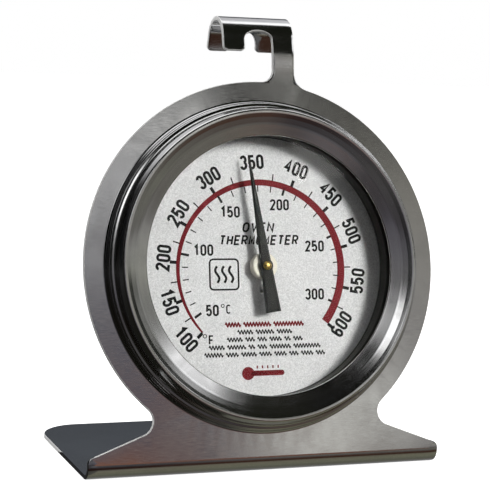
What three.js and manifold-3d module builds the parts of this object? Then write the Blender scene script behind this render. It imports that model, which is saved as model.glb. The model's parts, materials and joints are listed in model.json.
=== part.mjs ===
// Oven thermometer: a dial capsule held in a folded stainless stand with a rack hook.
// Units are millimetres, +Z is up, and the dial faces -Y.
//
// Nearly everything is drawn in the stand's own frame, which leans back as a whole: x to the right,
// y from the front face of the stand's plate towards the back, z up along the plate, with the origin
// on the dial's axis. One leaning group then turns it so that the stand's foot lies flat on Z = 0.

import * as THREE from 'three';
import { mergeVertices } from 'three/addons/utils/BufferGeometryUtils.js';
import Module from 'manifold-3d';

const wasm = await Module();
wasm.setup();

const DEGREE = Math.PI / 180;

// ---- driving dimensions ----------------------------------------------------------------------

const LEAN = 11.3 * DEGREE;      // the plate leans back from the vertical
const SHEET = 0.9;               // thickness of the stand's stainless sheet
const GAP = 0.3;                 // clearance between pieces that touch

const RING_R = 38.1;             // outside radius of the round plate, and half the foot's width
const HOLE_R = 32.6;             // inside of the collar that the capsule passes through
const COLLAR_H = 1.4;            // how far the drawn collar stands in front of the plate
const COLLAR_ROUND = 0.25;       // rounding of its rim
const COLLAR_ROOT = 0.45;        // width of the fillet at its root

const FOOT_BEND_Z = -38.65;      // centre of the bend between the plate and the foot
const FOOT_BEND_R = 2.95;        // outside radius of that bend
const FOOT_DEPTH = 41.4;         // flat length of the foot behind the bend
const FOOT_CORNER_R = 9;         // rear corners of the foot

const TAB_LEFT = 3.15;           // edges of the tab that carries the hook
const TAB_RIGHT = 7.9;
const HOOK_LEFT = -7.6;          // free end of the hook's bar
const HOOK_TOP = 52.3;
const HOOK_R = 4.9;              // outside radius of the hook's bend
const HOOK_FLARE = 26;           // the rear legs lean outwards, in degrees
const HOOK_LEG = 3.5;            // straight length of the rear legs
const FRONT_LEG_BOTTOM = 44.4;
const SLOT_WIDTH = 6;            // the round-topped slots beside the hook's legs
const FRONT_SLOT_Z = 47;         // where each slot's rounded top starts
const FRONT_SLOT_RISE = 1.8;     // how high that rounded top is
const REAR_SLOT_Z = 47;
const REAR_SLOT_RISE = 3.2;
const LEG_CORNER_R = 1;
const RIGHT_FILLET_R = 3.6;      // between the tab and the ring
const LEFT_FILLET_R = 2.6;

const SKIRT_R = 32.2;            // outside radius of the bezel where it passes the stand
const SKIRT_WALL = 0.7;
const CROWN_R = 31.5;            // radius of the bezel's foremost line
const CROWN_Y = -5.8;
const OPENING_R = 26.35;         // the round window in the bezel
const OPENING_Y = -4.4;
const CRIMP_Y = 3.5;             // front of the edge that is rolled in behind the case

const CRIMP_SHEET = 0.6;
const RETAINER_WIDTH = 2.4;      // the ring that holds the capsule from behind the plate
const RETAINER_SHEET = 0.6;

const GASKET_INNER_R = 28.4;     // the seal between the bezel and the glass
const GASKET_OUTER_R = 30.3;
const GASKET_THIN = 0.25;        // it is a wedge, thinner on its inside
const GASKET_THICK = 0.7;
const GLASS_R = 30.6;
const GLASS_FRONT = -3.4;
const GLASS_THICK = 1;
const GLASS_BEVEL = 0.2;
const WINDOW_R = 26.6;           // inside of the dark ring between the glass and the dial
const PACK_R = 30.9;             // outside radius of the pieces stacked in the capsule

const DIAL_FRONT = 1.8;
const DIAL_THICK = 0.5;
const CUP_WALL = 0.6;
const CUP_R = 29.6;
const CUP_BACK = 10.6;

const SPINDLE_R = 0.7;
const SPINDLE_CHAMFER = 0.1;
const COLLET_R = 2.1;            // the sleeve on the spindle that carries the coil
const COLLET_TAIL_R = 1.6;
const COLLET_FRONT = 0.4;        // how far it stands past the coil on each side
const COLLET_BACK = 0.8;
const RUNNING_FIT = 0.08;        // radial clearance of the spindle in its two bushes
const POINTER_BACK = -0.85;
const POINTER_THICK = 0.5;
const POINTER_TIP = 22.5;
const POINTER_TAIL = 9.6;
const POINTER_TIP_HALF = 0.16;   // half widths of its two ends and its waist
const POINTER_TAIL_HALF = 1.66;
const POINTER_WAIST_R = 1.5;
const CAP_R = 0.88;
const CAP_H = 0.4;
const POINTER_ANGLE = 8 * DEGREE; // how far the pointer stands left of straight up at rest

const COIL_FRONT = 4.4;
const COIL_WIDTH = 3;
const COIL_TURNS = 6.3;
const COIL_START = 60;           // angle of its inner end, in degrees
const COIL_STEPS = 20;           // facets in one turn
const COIL_INNER_R = 2.6;
const COIL_PITCH = 1.25;
const COIL_STRIP = 0.4;

const BRIDGE_HALF = 17;          // from the axis to the bridge's legs
const BRIDGE_WIDTH = 6;
const BRIDGE_FRONT = 2.7;
const BRIDGE_SHEET = 0.7;
const BRIDGE_CORNER_R = 1.2;
const FOOTPAD = 5;               // length of the bridge's feet

const RIVET_R = 0.9;
const RIVET_HEAD_R = 1.8;
const RIVET_HEAD_H = 0.7;
const RIVET_ROUND = 0.22;

const ROUND_STEPS = 44;          // facets around the large turned pieces
const SMALL_STEPS = 20;          // facets around the small ones
const TINY_STEPS = 12;
const HOLE_STEPS = 16;
const JOIN = 0.1;                // overlap of two solids that are joined into one
const CLEAR = 1;                 // how far a cutting solid runs past what it cuts
const HOOK_STEP = 11;            // degrees of the hook's bend in one facet

// ---- materials -------------------------------------------------------------------------------

function finish(color, roughness, metalness) {
  return new THREE.MeshStandardMaterial({ color, roughness, metalness });
}

const brushedSteel = () => finish(0x8a8a8c, 0.38, 1);
const polishedSteel = () => finish(0x9c9c9a, 0.22, 1);
const darkSteel = () => finish(0x2b2b29, 0.55, 0.8);
const dialEnamel = () => finish(0xe2e2e0, 0.5, 0.1);
const pointerBlack = () => finish(0x161816, 0.4, 0.3);
const brass = () => finish(0xc29a3a, 0.3, 1);
const creamCeramic = () => finish(0xf2ecd8, 0.45, 0);
const bimetal = () => finish(0x9a8f80, 0.4, 1);
const fibre = () => finish(0x4a4744, 0.9, 0);

function glassFinish() {
  const glass = finish(0xffffff, 0.05, 0);
  glass.transparent = true;
  glass.opacity = 0.2;
  return glass;
}

// ---- solids ----------------------------------------------------------------------------------

// A geometry as a manifold solid, with its doubled corners joined and empty triangles left out.
function toSolid(geometry) {
  const plain = new THREE.BufferGeometry();
  const source = geometry.index ? geometry.toNonIndexed() : geometry;
  plain.setAttribute('position', source.getAttribute('position').clone());
  const joined = mergeVertices(plain, 1e-4);
  const corners = joined.getIndex().array;
  const kept = [];
  for (let i = 0; i < corners.length; i += 3) {
    const [a, b, c] = [corners[i], corners[i + 1], corners[i + 2]];
    if (a !== b && b !== c && c !== a) kept.push(a, b, c);
  }
  return new wasm.Manifold(new wasm.Mesh({
    numProp: 3,
    vertProperties: Float32Array.from(joined.getAttribute('position').array),
    triVerts: Uint32Array.from(kept),
  }));
}

function toGeometry(solid) {
  const mesh = solid.getMesh();
  const geometry = new THREE.BufferGeometry();
  geometry.setAttribute('position', new THREE.BufferAttribute(mesh.vertProperties, 3));
  geometry.setIndex(new THREE.BufferAttribute(mesh.triVerts, 1));
  geometry.computeVertexNormals();
  return geometry;
}

// A piece turned about the dial's axis, from a closed profile of [radius, y] corners.
function turned(profile, steps = ROUND_STEPS) {
  const points = profile.map(([r, y]) => new THREE.Vector2(r, y));
  points.push(points[0].clone());
  return new THREE.LatheGeometry(points, steps);
}

// A flat ring, or a disc where the inner radius is 0.
function ring(inner, outer, front, back, steps = ROUND_STEPS) {
  return turned([[inner, front], [outer, front], [outer, back], [inner, back]], steps);
}

// An outline in x and z, extruded from the front y to the back y.
function slab(outline, front, back, holes = []) {
  const shape = new THREE.Shape(outline);
  shape.holes = holes.map((hole) => new THREE.Path(hole));
  const geometry = new THREE.ExtrudeGeometry(shape, { depth: back - front, bevelEnabled: false });
  return geometry.rotateX(Math.PI / 2).translate(0, back, 0);
}

// An outline in y and z, extruded from the left x to the right x.
function beam(outline, left, right) {
  const geometry = new THREE.ExtrudeGeometry(new THREE.Shape(outline), {
    depth: right - left,
    bevelEnabled: false,
  });
  const axes = new THREE.Matrix4().makeBasis(
    new THREE.Vector3(0, 1, 0),
    new THREE.Vector3(0, 0, 1),
    new THREE.Vector3(1, 0, 0),
  );
  return geometry.applyMatrix4(axes).translate(left, 0, 0);
}

// Points along an arc, in degrees, with both ends included.
function arc(x, z, radius, from, to, step) {
  const count = Math.max(1, Math.round(Math.abs(to - from) / step));
  const points = [];
  for (let i = 0; i <= count; i += 1) {
    const angle = (from + (to - from) * i / count) * DEGREE;
    points.push(new THREE.Vector2(x + radius * Math.cos(angle), z + radius * Math.sin(angle)));
  }
  return points;
}

function circle(x, z, radius, steps = SMALL_STEPS) {
  return arc(x, z, radius, 0, 360, 360 / steps).slice(0, -1);
}

// A rectangle in two coordinates with one radius on each of its corners.
function roundedRectangle(left, right, bottom, top, radius, step = 15) {
  return [
    ...arc(right - radius, bottom + radius, radius, -90, 0, step),
    ...arc(right - radius, top - radius, radius, 0, 90, step),
    ...arc(left + radius, top - radius, radius, 90, 180, step),
    ...arc(left + radius, bottom + radius, radius, 180, 270, step),
  ];
}

// A headed rivet along y, through a sheet at this y and the back wall of the case.
function rivet(x, z, front) {
  const headFront = CUP_BACK + GAP;
  const headBack = headFront + RIVET_HEAD_H;
  const profile = [
    [0, front], [RIVET_R, front], [RIVET_R, headFront], [RIVET_HEAD_R, headFront],
    [RIVET_HEAD_R, headBack - RIVET_ROUND], [RIVET_HEAD_R - RIVET_ROUND, headBack], [0, headBack],
  ];
  return turned(profile, TINY_STEPS).translate(x, 0, z);
}

// ---- the stand: one folded sheet with ring, tab, hook and foot ----------------------------------

const WING_SLOPE = -20.5;        // the wings' top edges fall outwards, in degrees
const WAIST_ANGLE = -48;         // where the waist between ring and wing lies, from the axis
const WAIST_R = 3;
const WING_TIP_R = 1.3;

// The right half of the plate's edge from the foot up to the ring, anticlockwise.
function wingEdge() {
  const reach = RING_R + WAIST_R;
  const waistX = reach * Math.cos(WAIST_ANGLE * DEGREE);
  const waistZ = reach * Math.sin(WAIST_ANGLE * DEGREE);
  const normal = WING_SLOPE + 90;
  const startX = waistX - WAIST_R * Math.cos(normal * DEGREE);
  const startZ = waistZ - WAIST_R * Math.sin(normal * DEGREE);
  const fall = Math.tan(WING_SLOPE * DEGREE);
  const tipX = RING_R - WING_TIP_R;
  const edgeZ = startZ + (tipX - startX) * fall;
  const tipZ = edgeZ - WING_TIP_R / Math.cos(WING_SLOPE * DEGREE);
  return [
    new THREE.Vector2(RING_R, FOOT_BEND_Z),
    ...arc(tipX, tipZ, WING_TIP_R, 0, normal, 23),
    ...arc(waistX, waistZ, WAIST_R, normal + 180, 180 + WAIST_ANGLE, 17),
  ];
}

// The fillet between the ring and one upright edge of the tab, from the ring to the tab.
function tabFillet(edgeX, radius) {
  const side = Math.sign(radius);
  const size = Math.abs(radius);
  const x = edgeX + radius;
  const z = Math.sqrt((RING_R + size) ** 2 - x * x);
  const toRing = Math.atan2(z, x) / DEGREE;
  return { ringAngle: toRing, arc: arc(x, z, size, toRing - 180, side > 0 ? -180 : 0, 14) };
}

function plateOutline() {
  const right = wingEdge();
  const left = right.map((p) => new THREE.Vector2(-p.x, p.y)).reverse();
  const rightFillet = tabFillet(TAB_RIGHT, RIGHT_FILLET_R);
  const leftFillet = tabFillet(TAB_LEFT, -LEFT_FILLET_R);
  const tabTop = HOOK_TOP - HOOK_R + JOIN;
  return [
    ...right,
    ...arc(0, 0, RING_R, WAIST_ANGLE, rightFillet.ringAngle, 5).slice(1),
    ...rightFillet.arc.slice(1),
    new THREE.Vector2(TAB_RIGHT, tabTop),
    new THREE.Vector2(TAB_LEFT, tabTop),
    ...leftFillet.arc.reverse(),
    ...arc(0, 0, RING_R, leftFillet.ringAngle, 180 - WAIST_ANGLE, 5).slice(1),
    ...left.slice(1),
  ];
}

// The collar is drawn forward out of the plate around the capsule's hole.
function collar() {
  const top = -COLLAR_H;
  const outer = HOLE_R + SHEET;
  const root = outer + COLLAR_ROOT;
  return turned([
    [HOLE_R, SHEET], [HOLE_R, top + COLLAR_ROUND], [HOLE_R + COLLAR_ROUND, top],
    [outer - COLLAR_ROUND, top], [outer, top + COLLAR_ROUND], [outer, -COLLAR_ROUND],
    [root, JOIN], [root, SHEET],
  ]);
}

function footBend() {
  const end = 270 + LEAN / DEGREE;
  const outline = [
    ...arc(FOOT_BEND_R, FOOT_BEND_Z, FOOT_BEND_R, 180, end, 14),
    ...arc(FOOT_BEND_R, FOOT_BEND_Z, FOOT_BEND_R - SHEET, end, 180, 14),
  ];
  return beam(outline, -RING_R, RING_R);
}

function foot() {
  const rear = FOOT_DEPTH - FOOT_CORNER_R;
  const side = RING_R - FOOT_CORNER_R;
  const outline = [
    new THREE.Vector2(-RING_R, 0),
    new THREE.Vector2(RING_R, 0),
    ...arc(side, rear, FOOT_CORNER_R, 0, 90, 11),
    ...arc(-side, rear, FOOT_CORNER_R, 90, 180, 11),
  ];
  const sheet = new THREE.ExtrudeGeometry(new THREE.Shape(outline), {
    depth: SHEET,
    bevelEnabled: false,
  });
  sheet.translate(0, 0, -FOOT_BEND_R).rotateX(LEAN);
  return sheet.translate(0, FOOT_BEND_R, FOOT_BEND_Z);
}

// The front or rear outline of the hook: a bar with rounded legs on each side of a round-topped slot.
// In front the right leg is the tab, which runs on down to the ring.
function hookOutline(bottom, slotZ, slotRise, rightLegIsTab) {
  const slotR = SLOT_WIDTH / 2;
  const slotX = TAB_LEFT - slotR;
  const above = HOOK_TOP + CLEAR;
  const below = bottom - RING_R;
  const corner = (x, z, from) => arc(x, z, LEG_CORNER_R, from, from + 90, 30);
  const cornerZ = bottom + LEG_CORNER_R;
  const slotTop = arc(0, 0, 1, 180, 0, 15)
    .map((p) => new THREE.Vector2(slotX + slotR * p.x, slotZ + slotRise * p.y));
  const rightLeg = rightLegIsTab
    ? [new THREE.Vector2(TAB_LEFT, below), new THREE.Vector2(TAB_RIGHT, below)]
    : [
      ...corner(TAB_LEFT + LEG_CORNER_R, cornerZ, 180),
      ...corner(TAB_RIGHT - LEG_CORNER_R, cornerZ, -90),
    ];
  return [
    new THREE.Vector2(HOOK_LEFT, above),
    ...corner(HOOK_LEFT + LEG_CORNER_R, cornerZ, 180),
    ...corner(slotX - slotR - LEG_CORNER_R, cornerZ, -90),
    ...slotTop,
    ...rightLeg,
    new THREE.Vector2(TAB_RIGHT, above),
  ];
}

// The bar bent over backwards: an inverted U with flared rear legs, trimmed to its two outlines.
function hook() {
  const centre = HOOK_TOP - HOOK_R;
  const inner = HOOK_R - SHEET;
  const along = new THREE.Vector2(Math.sin(HOOK_FLARE * DEGREE), -Math.cos(HOOK_FLARE * DEGREE));
  const front = arc(HOOK_R, centre, HOOK_R, HOOK_FLARE, 180, HOOK_STEP);
  const back = arc(HOOK_R, centre, inner, 180, HOOK_FLARE, HOOK_STEP);
  const innerEnd = back.at(-1).clone().addScaledVector(along, HOOK_LEG);
  const outerEnd = front[0].clone().addScaledVector(along, HOOK_LEG);
  const section = [
    new THREE.Vector2(0, FRONT_LEG_BOTTOM),
    new THREE.Vector2(SHEET, FRONT_LEG_BOTTOM),
    ...back,
    innerEnd,
    outerEnd,
    ...front,
  ];
  const bar = toSolid(beam(section, HOOK_LEFT, TAB_RIGHT));
  const frontOutline = hookOutline(FRONT_LEG_BOTTOM, FRONT_SLOT_Z, FRONT_SLOT_RISE, true);
  const rearOutline = hookOutline(innerEnd.y, REAR_SLOT_Z, REAR_SLOT_RISE, false);
  const frontHalf = toSolid(slab(frontOutline, -CLEAR, HOOK_R));
  const rearHalf = toSolid(slab(rearOutline, HOOK_R, outerEnd.x + CLEAR));
  return bar.intersect(frontHalf.add(rearHalf));
}

function standFrame() {
  const hole = circle(0, 0, HOLE_R + SHEET + COLLAR_ROOT / 2, ROUND_STEPS);
  const plate = toSolid(slab(plateOutline(), 0, SHEET, [hole]));
  return toGeometry(plate
    .add(toSolid(collar()))
    .add(toSolid(footBend()))
    .add(toSolid(foot()))
    .add(hook()));
}

// ---- the capsule -------------------------------------------------------------------------------

// The pressed bezel: window lip, sloping band, crown, bead that sits on the collar, and a skirt whose
// end is rolled in behind the case.
function bezelRing() {
  const inner = SKIRT_R - SKIRT_WALL;
  return turned([
    [OPENING_R, OPENING_Y], [OPENING_R + 0.1, OPENING_Y + 0.55], [OPENING_R + 0.5, OPENING_Y + 0.6],
    [CROWN_R - 1, CROWN_Y + 0.95], [inner - 0.15, CROWN_Y + 1.2], [inner, CROWN_Y + 1.8],
    [inner, CRIMP_Y], [CUP_R + GAP, CRIMP_Y], [CUP_R + GAP, CRIMP_Y + CRIMP_SHEET],
    [SKIRT_R - 0.3, CRIMP_Y + CRIMP_SHEET], [SKIRT_R, CRIMP_Y + 0.3], [SKIRT_R, -COLLAR_H - GAP],
    [SKIRT_R + 0.9, -COLLAR_H - GAP], [SKIRT_R + 1.1, -COLLAR_H - 0.6],
    [SKIRT_R + 0.9, -COLLAR_H - 1], [SKIRT_R + 0.35, -COLLAR_H - 1.2],
    [SKIRT_R + 0.1, -COLLAR_H - 1.8], [SKIRT_R - 0.05, CROWN_Y + 0.7],
    [SKIRT_R - 0.35, CROWN_Y + 0.15], [CROWN_R, CROWN_Y], [CROWN_R - 0.5, CROWN_Y + 0.05],
    [CROWN_R - 1.1, CROWN_Y + 0.3],
  ].reverse());
}

// The ring pushed on to the skirt behind the plate.
function retainingRing() {
  const inner = SKIRT_R + GAP;
  const front = SHEET + GAP;
  return ring(inner, inner + RETAINER_WIDTH, front, front + RETAINER_SHEET);
}

// The seal between the glass and the sloping inside of the bezel.
function lensGasket() {
  const back = GLASS_FRONT - GAP;
  return turned([
    [GASKET_INNER_R, back - GASKET_THIN], [GASKET_OUTER_R, back - GASKET_THICK],
    [GASKET_OUTER_R, back], [GASKET_INNER_R, back],
  ]);
}

function lensGlass() {
  const back = GLASS_FRONT + GLASS_THICK;
  return turned([
    [0, GLASS_FRONT], [GLASS_R - GLASS_BEVEL, GLASS_FRONT], [GLASS_R, GLASS_FRONT + GLASS_BEVEL],
    [GLASS_R, back], [0, back],
  ]);
}

// The dark ring that holds the glass off the dial.
function spacerRing() {
  const front = GLASS_FRONT + GLASS_THICK + GAP;
  const back = DIAL_FRONT - GAP;
  return ring(WINDOW_R, PACK_R, front, back);
}

const DIAL_HOLE_R = 1.9;
const SIGHT_HOLE_R = 0.4;        // small hole below the middle of the dial
const SIGHT_HOLE_Z = -5.1;

function dialPlate() {
  const outline = circle(0, 0, PACK_R, ROUND_STEPS);
  const holes = [circle(0, 0, DIAL_HOLE_R), circle(0, SIGHT_HOLE_Z, SIGHT_HOLE_R, TINY_STEPS)];
  return slab(outline, DIAL_FRONT, DIAL_FRONT + DIAL_THICK, holes);
}

// ---- the case and what is fixed in it ------------------------------------------------------------

const VENT_COUNT = 6;
const VENT_RING_R = 22;
const VENT_R = 1.6;
const VENT_START = 30;           // angle of the first vent, in degrees
const ANCHOR_X = 3;              // the coil's anchor stands beside its outer end
const ANCHOR_Z = -12.3;
const ANCHOR_WIDTH = 5;
const ANCHOR_SHEET = 0.6;
const ANCHOR_PAD = 5.2;          // length of the anchor's foot
const ANCHOR_PAD_CORNER_R = 0.25;
const PIN_R = 0.45;              // the pin through the coil's outer end
const PIN_HEAD_R = 0.9;
const PIN_HOLE_R = 0.8;
const REAR_BUSH_NECK_R = 1.7;

const cupInside = CUP_BACK - CUP_WALL;
const footpadX = BRIDGE_HALF + FOOTPAD / 2;
const anchorPadZ = ANCHOR_Z - ANCHOR_PAD + 2;

function caseCup() {
  const front = DIAL_FRONT + DIAL_THICK + GAP;
  const inner = CUP_R - CUP_WALL;
  let cup = toSolid(turned([
    [inner, front], [PACK_R, front], [PACK_R, front + CUP_WALL], [CUP_R, front + CUP_WALL],
    [CUP_R, CUP_BACK - 1.5], [CUP_R - 0.5, CUP_BACK - 0.4], [CUP_R - 1.6, CUP_BACK],
    [0, CUP_BACK], [0, cupInside], [CUP_R - 1.8, cupInside], [inner - 0.3, CUP_BACK - 1.2],
    [inner, CUP_BACK - 1.8],
  ]));
  const through = (x, z, r) => toSolid(
    slab(circle(x, z, r, HOLE_STEPS), cupInside - CLEAR, CUP_BACK + CLEAR),
  );
  for (let i = 0; i < VENT_COUNT; i += 1) {
    const angle = (VENT_START + 360 * i / VENT_COUNT) * DEGREE;
    cup = cup.subtract(through(VENT_RING_R * Math.cos(angle), VENT_RING_R * Math.sin(angle), VENT_R));
  }
  cup = cup.subtract(through(0, 0, REAR_BUSH_NECK_R + GAP));
  for (const x of [-footpadX, footpadX]) cup = cup.subtract(through(x, 0, RIVET_R + GAP));
  return toGeometry(cup.subtract(through(ANCHOR_X, anchorPadZ, RIVET_R + GAP)));
}

const FRONT_BUSH_R = 2.7;
const FRONT_BUSH_NECK_R = 1.5;
const FRONT_BUSH_CHAMFER = 0.3;
const BUSH_FRONT = -0.5;
const REAR_BUSH_R = 2.6;
const REAR_BUSH_FLANGE = 0.8;    // thickness of the rear bush's flange
const BUSH_END = 0.3;            // how far each bush's neck stands past the sheet that holds it
const BUSH_FLOOR = 0.5;          // the closed end of the rear bush

// A strip bent over the coil that carries the front bush.
function bridgeBracket() {
  const back = cupInside - GAP;
  const half = BRIDGE_WIDTH / 2;
  const strip = (left, right, front, rear, holes) => toSolid(
    slab(roundedRectangle(left, right, -half, half, BRIDGE_CORNER_R, 30), front, rear, holes),
  );
  const bushHole = circle(0, 0, FRONT_BUSH_NECK_R + GAP, HOLE_STEPS);
  let bracket = strip(-BRIDGE_HALF, BRIDGE_HALF, BRIDGE_FRONT, BRIDGE_FRONT + BRIDGE_SHEET, [bushHole]);
  const legDepth = back - BRIDGE_FRONT - BRIDGE_SHEET / 2;
  const legWidth = BRIDGE_WIDTH - 2 * BRIDGE_CORNER_R;
  for (const side of [-1, 1]) {
    const inside = side * (BRIDGE_HALF - BRIDGE_CORNER_R);
    const outside = side * (BRIDGE_HALF + FOOTPAD);
    const [left, right] = [Math.min(inside, outside), Math.max(inside, outside)];
    const rivetHole = circle(side * footpadX, 0, RIVET_R + GAP, HOLE_STEPS);
    const leg = new THREE.BoxGeometry(BRIDGE_SHEET, legDepth, legWidth)
      .translate(inside + side * BRIDGE_SHEET / 2, (back + BRIDGE_FRONT) / 2, 0);
    bracket = bracket
      .add(strip(left, right, back - BRIDGE_SHEET, back, [rivetHole]))
      .add(toSolid(leg));
  }
  return toGeometry(bracket);
}

function bridgeRivet(side) {
  return rivet(side * footpadX, 0, cupInside - GAP - BRIDGE_SHEET);
}

// The small angle that the coil's outer end is fixed to.
function anchorBracket() {
  const back = cupInside - GAP;
  const half = ANCHOR_WIDTH / 2;
  const upright = new THREE.BoxGeometry(ANCHOR_WIDTH, back - COIL_FRONT, ANCHOR_SHEET)
    .translate(ANCHOR_X, (back + COIL_FRONT) / 2, ANCHOR_Z);
  const hole = new THREE.CylinderGeometry(PIN_HOLE_R, PIN_HOLE_R, ANCHOR_WIDTH, HOLE_STEPS)
    .rotateX(Math.PI / 2).translate(ANCHOR_X, COIL_FRONT + COIL_WIDTH / 2, ANCHOR_Z);
  const outline = roundedRectangle(
    ANCHOR_X - half, ANCHOR_X + half, ANCHOR_Z - ANCHOR_PAD, ANCHOR_Z, ANCHOR_PAD_CORNER_R, 45,
  );
  const rivetHole = circle(ANCHOR_X, anchorPadZ, RIVET_R + GAP, HOLE_STEPS);
  const pad = slab(outline, back - ANCHOR_SHEET, back, [rivetHole]);
  return toGeometry(toSolid(upright).subtract(toSolid(hole)).add(toSolid(pad)));
}

function anchorRivet() {
  return rivet(ANCHOR_X, anchorPadZ, cupInside - GAP - ANCHOR_SHEET);
}

// The pin that holds the coil's outer end to its anchor.
function coilEndPin() {
  const head = 0.4;
  const length = 1.5;
  const profile = [
    [0, 0], [PIN_HEAD_R, 0], [PIN_HEAD_R, head], [PIN_R, head], [PIN_R, length], [0, length],
  ];
  return turned(profile, TINY_STEPS).rotateX(Math.PI / 2)
    .translate(ANCHOR_X, COIL_FRONT + COIL_WIDTH / 2, ANCHOR_Z - 1);
}

function frontBush() {
  const bore = SPINDLE_R + RUNNING_FIT;
  const neckFront = DIAL_FRONT - GAP;
  const neckBack = BRIDGE_FRONT + BRIDGE_SHEET + BUSH_END;
  return turned([
    [bore, BUSH_FRONT], [FRONT_BUSH_R - FRONT_BUSH_CHAMFER, BUSH_FRONT],
    [FRONT_BUSH_R, BUSH_FRONT + FRONT_BUSH_CHAMFER], [FRONT_BUSH_R, neckFront],
    [FRONT_BUSH_NECK_R, neckFront], [FRONT_BUSH_NECK_R, neckBack], [bore, neckBack],
  ], SMALL_STEPS);
}

function rearBush() {
  const bore = SPINDLE_R + RUNNING_FIT;
  const flangeBack = cupInside - GAP;
  const flangeFront = flangeBack - REAR_BUSH_FLANGE;
  const end = CUP_BACK + BUSH_END;
  return turned([
    [bore, flangeFront], [REAR_BUSH_R, flangeFront], [REAR_BUSH_R, flangeBack],
    [REAR_BUSH_NECK_R, flangeBack], [REAR_BUSH_NECK_R, end], [0, end], [0, end - BUSH_FLOOR],
    [bore, end - BUSH_FLOOR],
  ], SMALL_STEPS);
}

// The spiral of bimetal strip that winds and unwinds with heat.
function bimetalCoil() {
  const outer = [];
  const inner = [];
  const last = Math.round(COIL_TURNS * COIL_STEPS);
  for (let i = 0; i <= last; i += 1) {
    const turn = i / COIL_STEPS;
    const angle = (COIL_START - 360 * turn) * DEGREE;
    const r = COIL_INNER_R + COIL_PITCH * turn;
    const ray = new THREE.Vector2(Math.cos(angle), Math.sin(angle));
    inner.push(ray.clone().multiplyScalar(r));
    outer.push(ray.clone().multiplyScalar(r + COIL_STRIP));
  }
  return slab([...outer, ...inner.reverse()], COIL_FRONT, COIL_FRONT + COIL_WIDTH);
}

// ---- the pieces that turn ------------------------------------------------------------------------

function spindle() {
  const front = POINTER_BACK - POINTER_THICK;
  const back = CUP_BACK + BUSH_END - BUSH_FLOOR - GAP;
  return turned([
    [0, front], [SPINDLE_R - SPINDLE_CHAMFER, front], [SPINDLE_R, front + SPINDLE_CHAMFER],
    [SPINDLE_R, back - SPINDLE_CHAMFER], [SPINDLE_R - SPINDLE_CHAMFER, back], [0, back],
  ], SMALL_STEPS);
}

// The sleeve on the spindle that the coil's inner end is fixed to.
function coilCollet() {
  const bore = SPINDLE_R + GAP;
  const front = COIL_FRONT - COLLET_FRONT;
  const step = COIL_FRONT + COIL_WIDTH;
  return turned([
    [bore, front], [COLLET_R, front], [COLLET_R, step], [COLLET_TAIL_R, step + COLLET_BACK],
    [bore, step + COLLET_BACK],
  ], SMALL_STEPS);
}

// A tapering hand with a squared tail and a round waist at the spindle.
function pointerHand() {
  const front = POINTER_BACK - POINTER_THICK;
  const blade = toSolid(slab([
    new THREE.Vector2(-POINTER_TAIL_HALF, -POINTER_TAIL),
    new THREE.Vector2(POINTER_TAIL_HALF, -POINTER_TAIL),
    new THREE.Vector2(POINTER_TIP_HALF, POINTER_TIP),
    new THREE.Vector2(-POINTER_TIP_HALF, POINTER_TIP),
  ], front, POINTER_BACK));
  const waist = toSolid(slab(circle(0, 0, POINTER_WAIST_R), front, POINTER_BACK));
  const hole = toSolid(slab(circle(0, 0, SPINDLE_R + GAP), front - CLEAR, POINTER_BACK + CLEAR));
  return toGeometry(blade.add(waist).subtract(hole)).rotateY(-POINTER_ANGLE);
}

// The domed cap over the spindle's end.
function pointerCap() {
  const back = POINTER_BACK - POINTER_THICK - GAP;
  const front = back - CAP_H;
  const shoulder = back - CAP_H / 3;
  return turned([
    [0, front], [CAP_R * 2 / 3, front], [CAP_R, shoulder], [CAP_R, back], [0, back],
  ], SMALL_STEPS);
}

// ---- assembly ------------------------------------------------------------------------------------

const leaning = new THREE.Group();

function place(name, geometry, material) {
  const mesh = new THREE.Mesh(geometry, material);
  mesh.name = name;
  leaning.add(mesh);
}

place('stand_frame', standFrame(), brushedSteel());
place('retaining_ring', retainingRing(), brushedSteel());
place('bezel_ring', bezelRing(), polishedSteel());
place('lens_gasket', lensGasket(), fibre());
place('lens_glass', lensGlass(), glassFinish());
place('spacer_ring', spacerRing(), darkSteel());
place('dial_plate', dialPlate(), dialEnamel());
place('case_cup', caseCup(), brushedSteel());
place('bridge_bracket', bridgeBracket(), brushedSteel());
place('bridge_rivet_left', bridgeRivet(-1), brass());
place('bridge_rivet_right', bridgeRivet(1), brass());
place('coil_anchor', anchorBracket(), brushedSteel());
place('coil_anchor_rivet', anchorRivet(), brass());
place('coil_end_pin', coilEndPin(), brass());
place('front_bush', frontBush(), creamCeramic());
place('rear_bush', rearBush(), brass());
place('bimetal_coil', bimetalCoil(), bimetal());
place('coil_collet', coilCollet(), brass());
place('spindle', spindle(), brass());
place('pointer', pointerHand(), pointerBlack());
place('pointer_cap', pointerCap(), brass());

// The foot's underside lies on Z = 0, with the middle of its flat part at the origin.
const bendY = FOOT_BEND_R * Math.cos(LEAN) + FOOT_BEND_Z * Math.sin(LEAN);
const bendZ = FOOT_BEND_Z * Math.cos(LEAN) - FOOT_BEND_R * Math.sin(LEAN);
leaning.rotation.x = -LEAN;
leaning.position.set(0, -bendY - FOOT_DEPTH / 2, FOOT_BEND_R - bendZ);

const thermometer = new THREE.Group();
thermometer.add(leaning);
thermometer.updateMatrixWorld(true);

export default thermometer;
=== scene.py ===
"""Looks of the oven thermometer: a dial capsule in a folded stainless stand.

Points are written in millimetres in the stand's own frame: x to the right, y from the front face of
the plate towards the back, z up along the plate, with the origin on the dial's axis. TO_WORLD takes
them into the row frame, in metres.
"""

import json
import math

import bmesh
import bpy
from mathutils import Matrix, Vector
from mathutils.geometry import delaunay_2d_cdt


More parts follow.
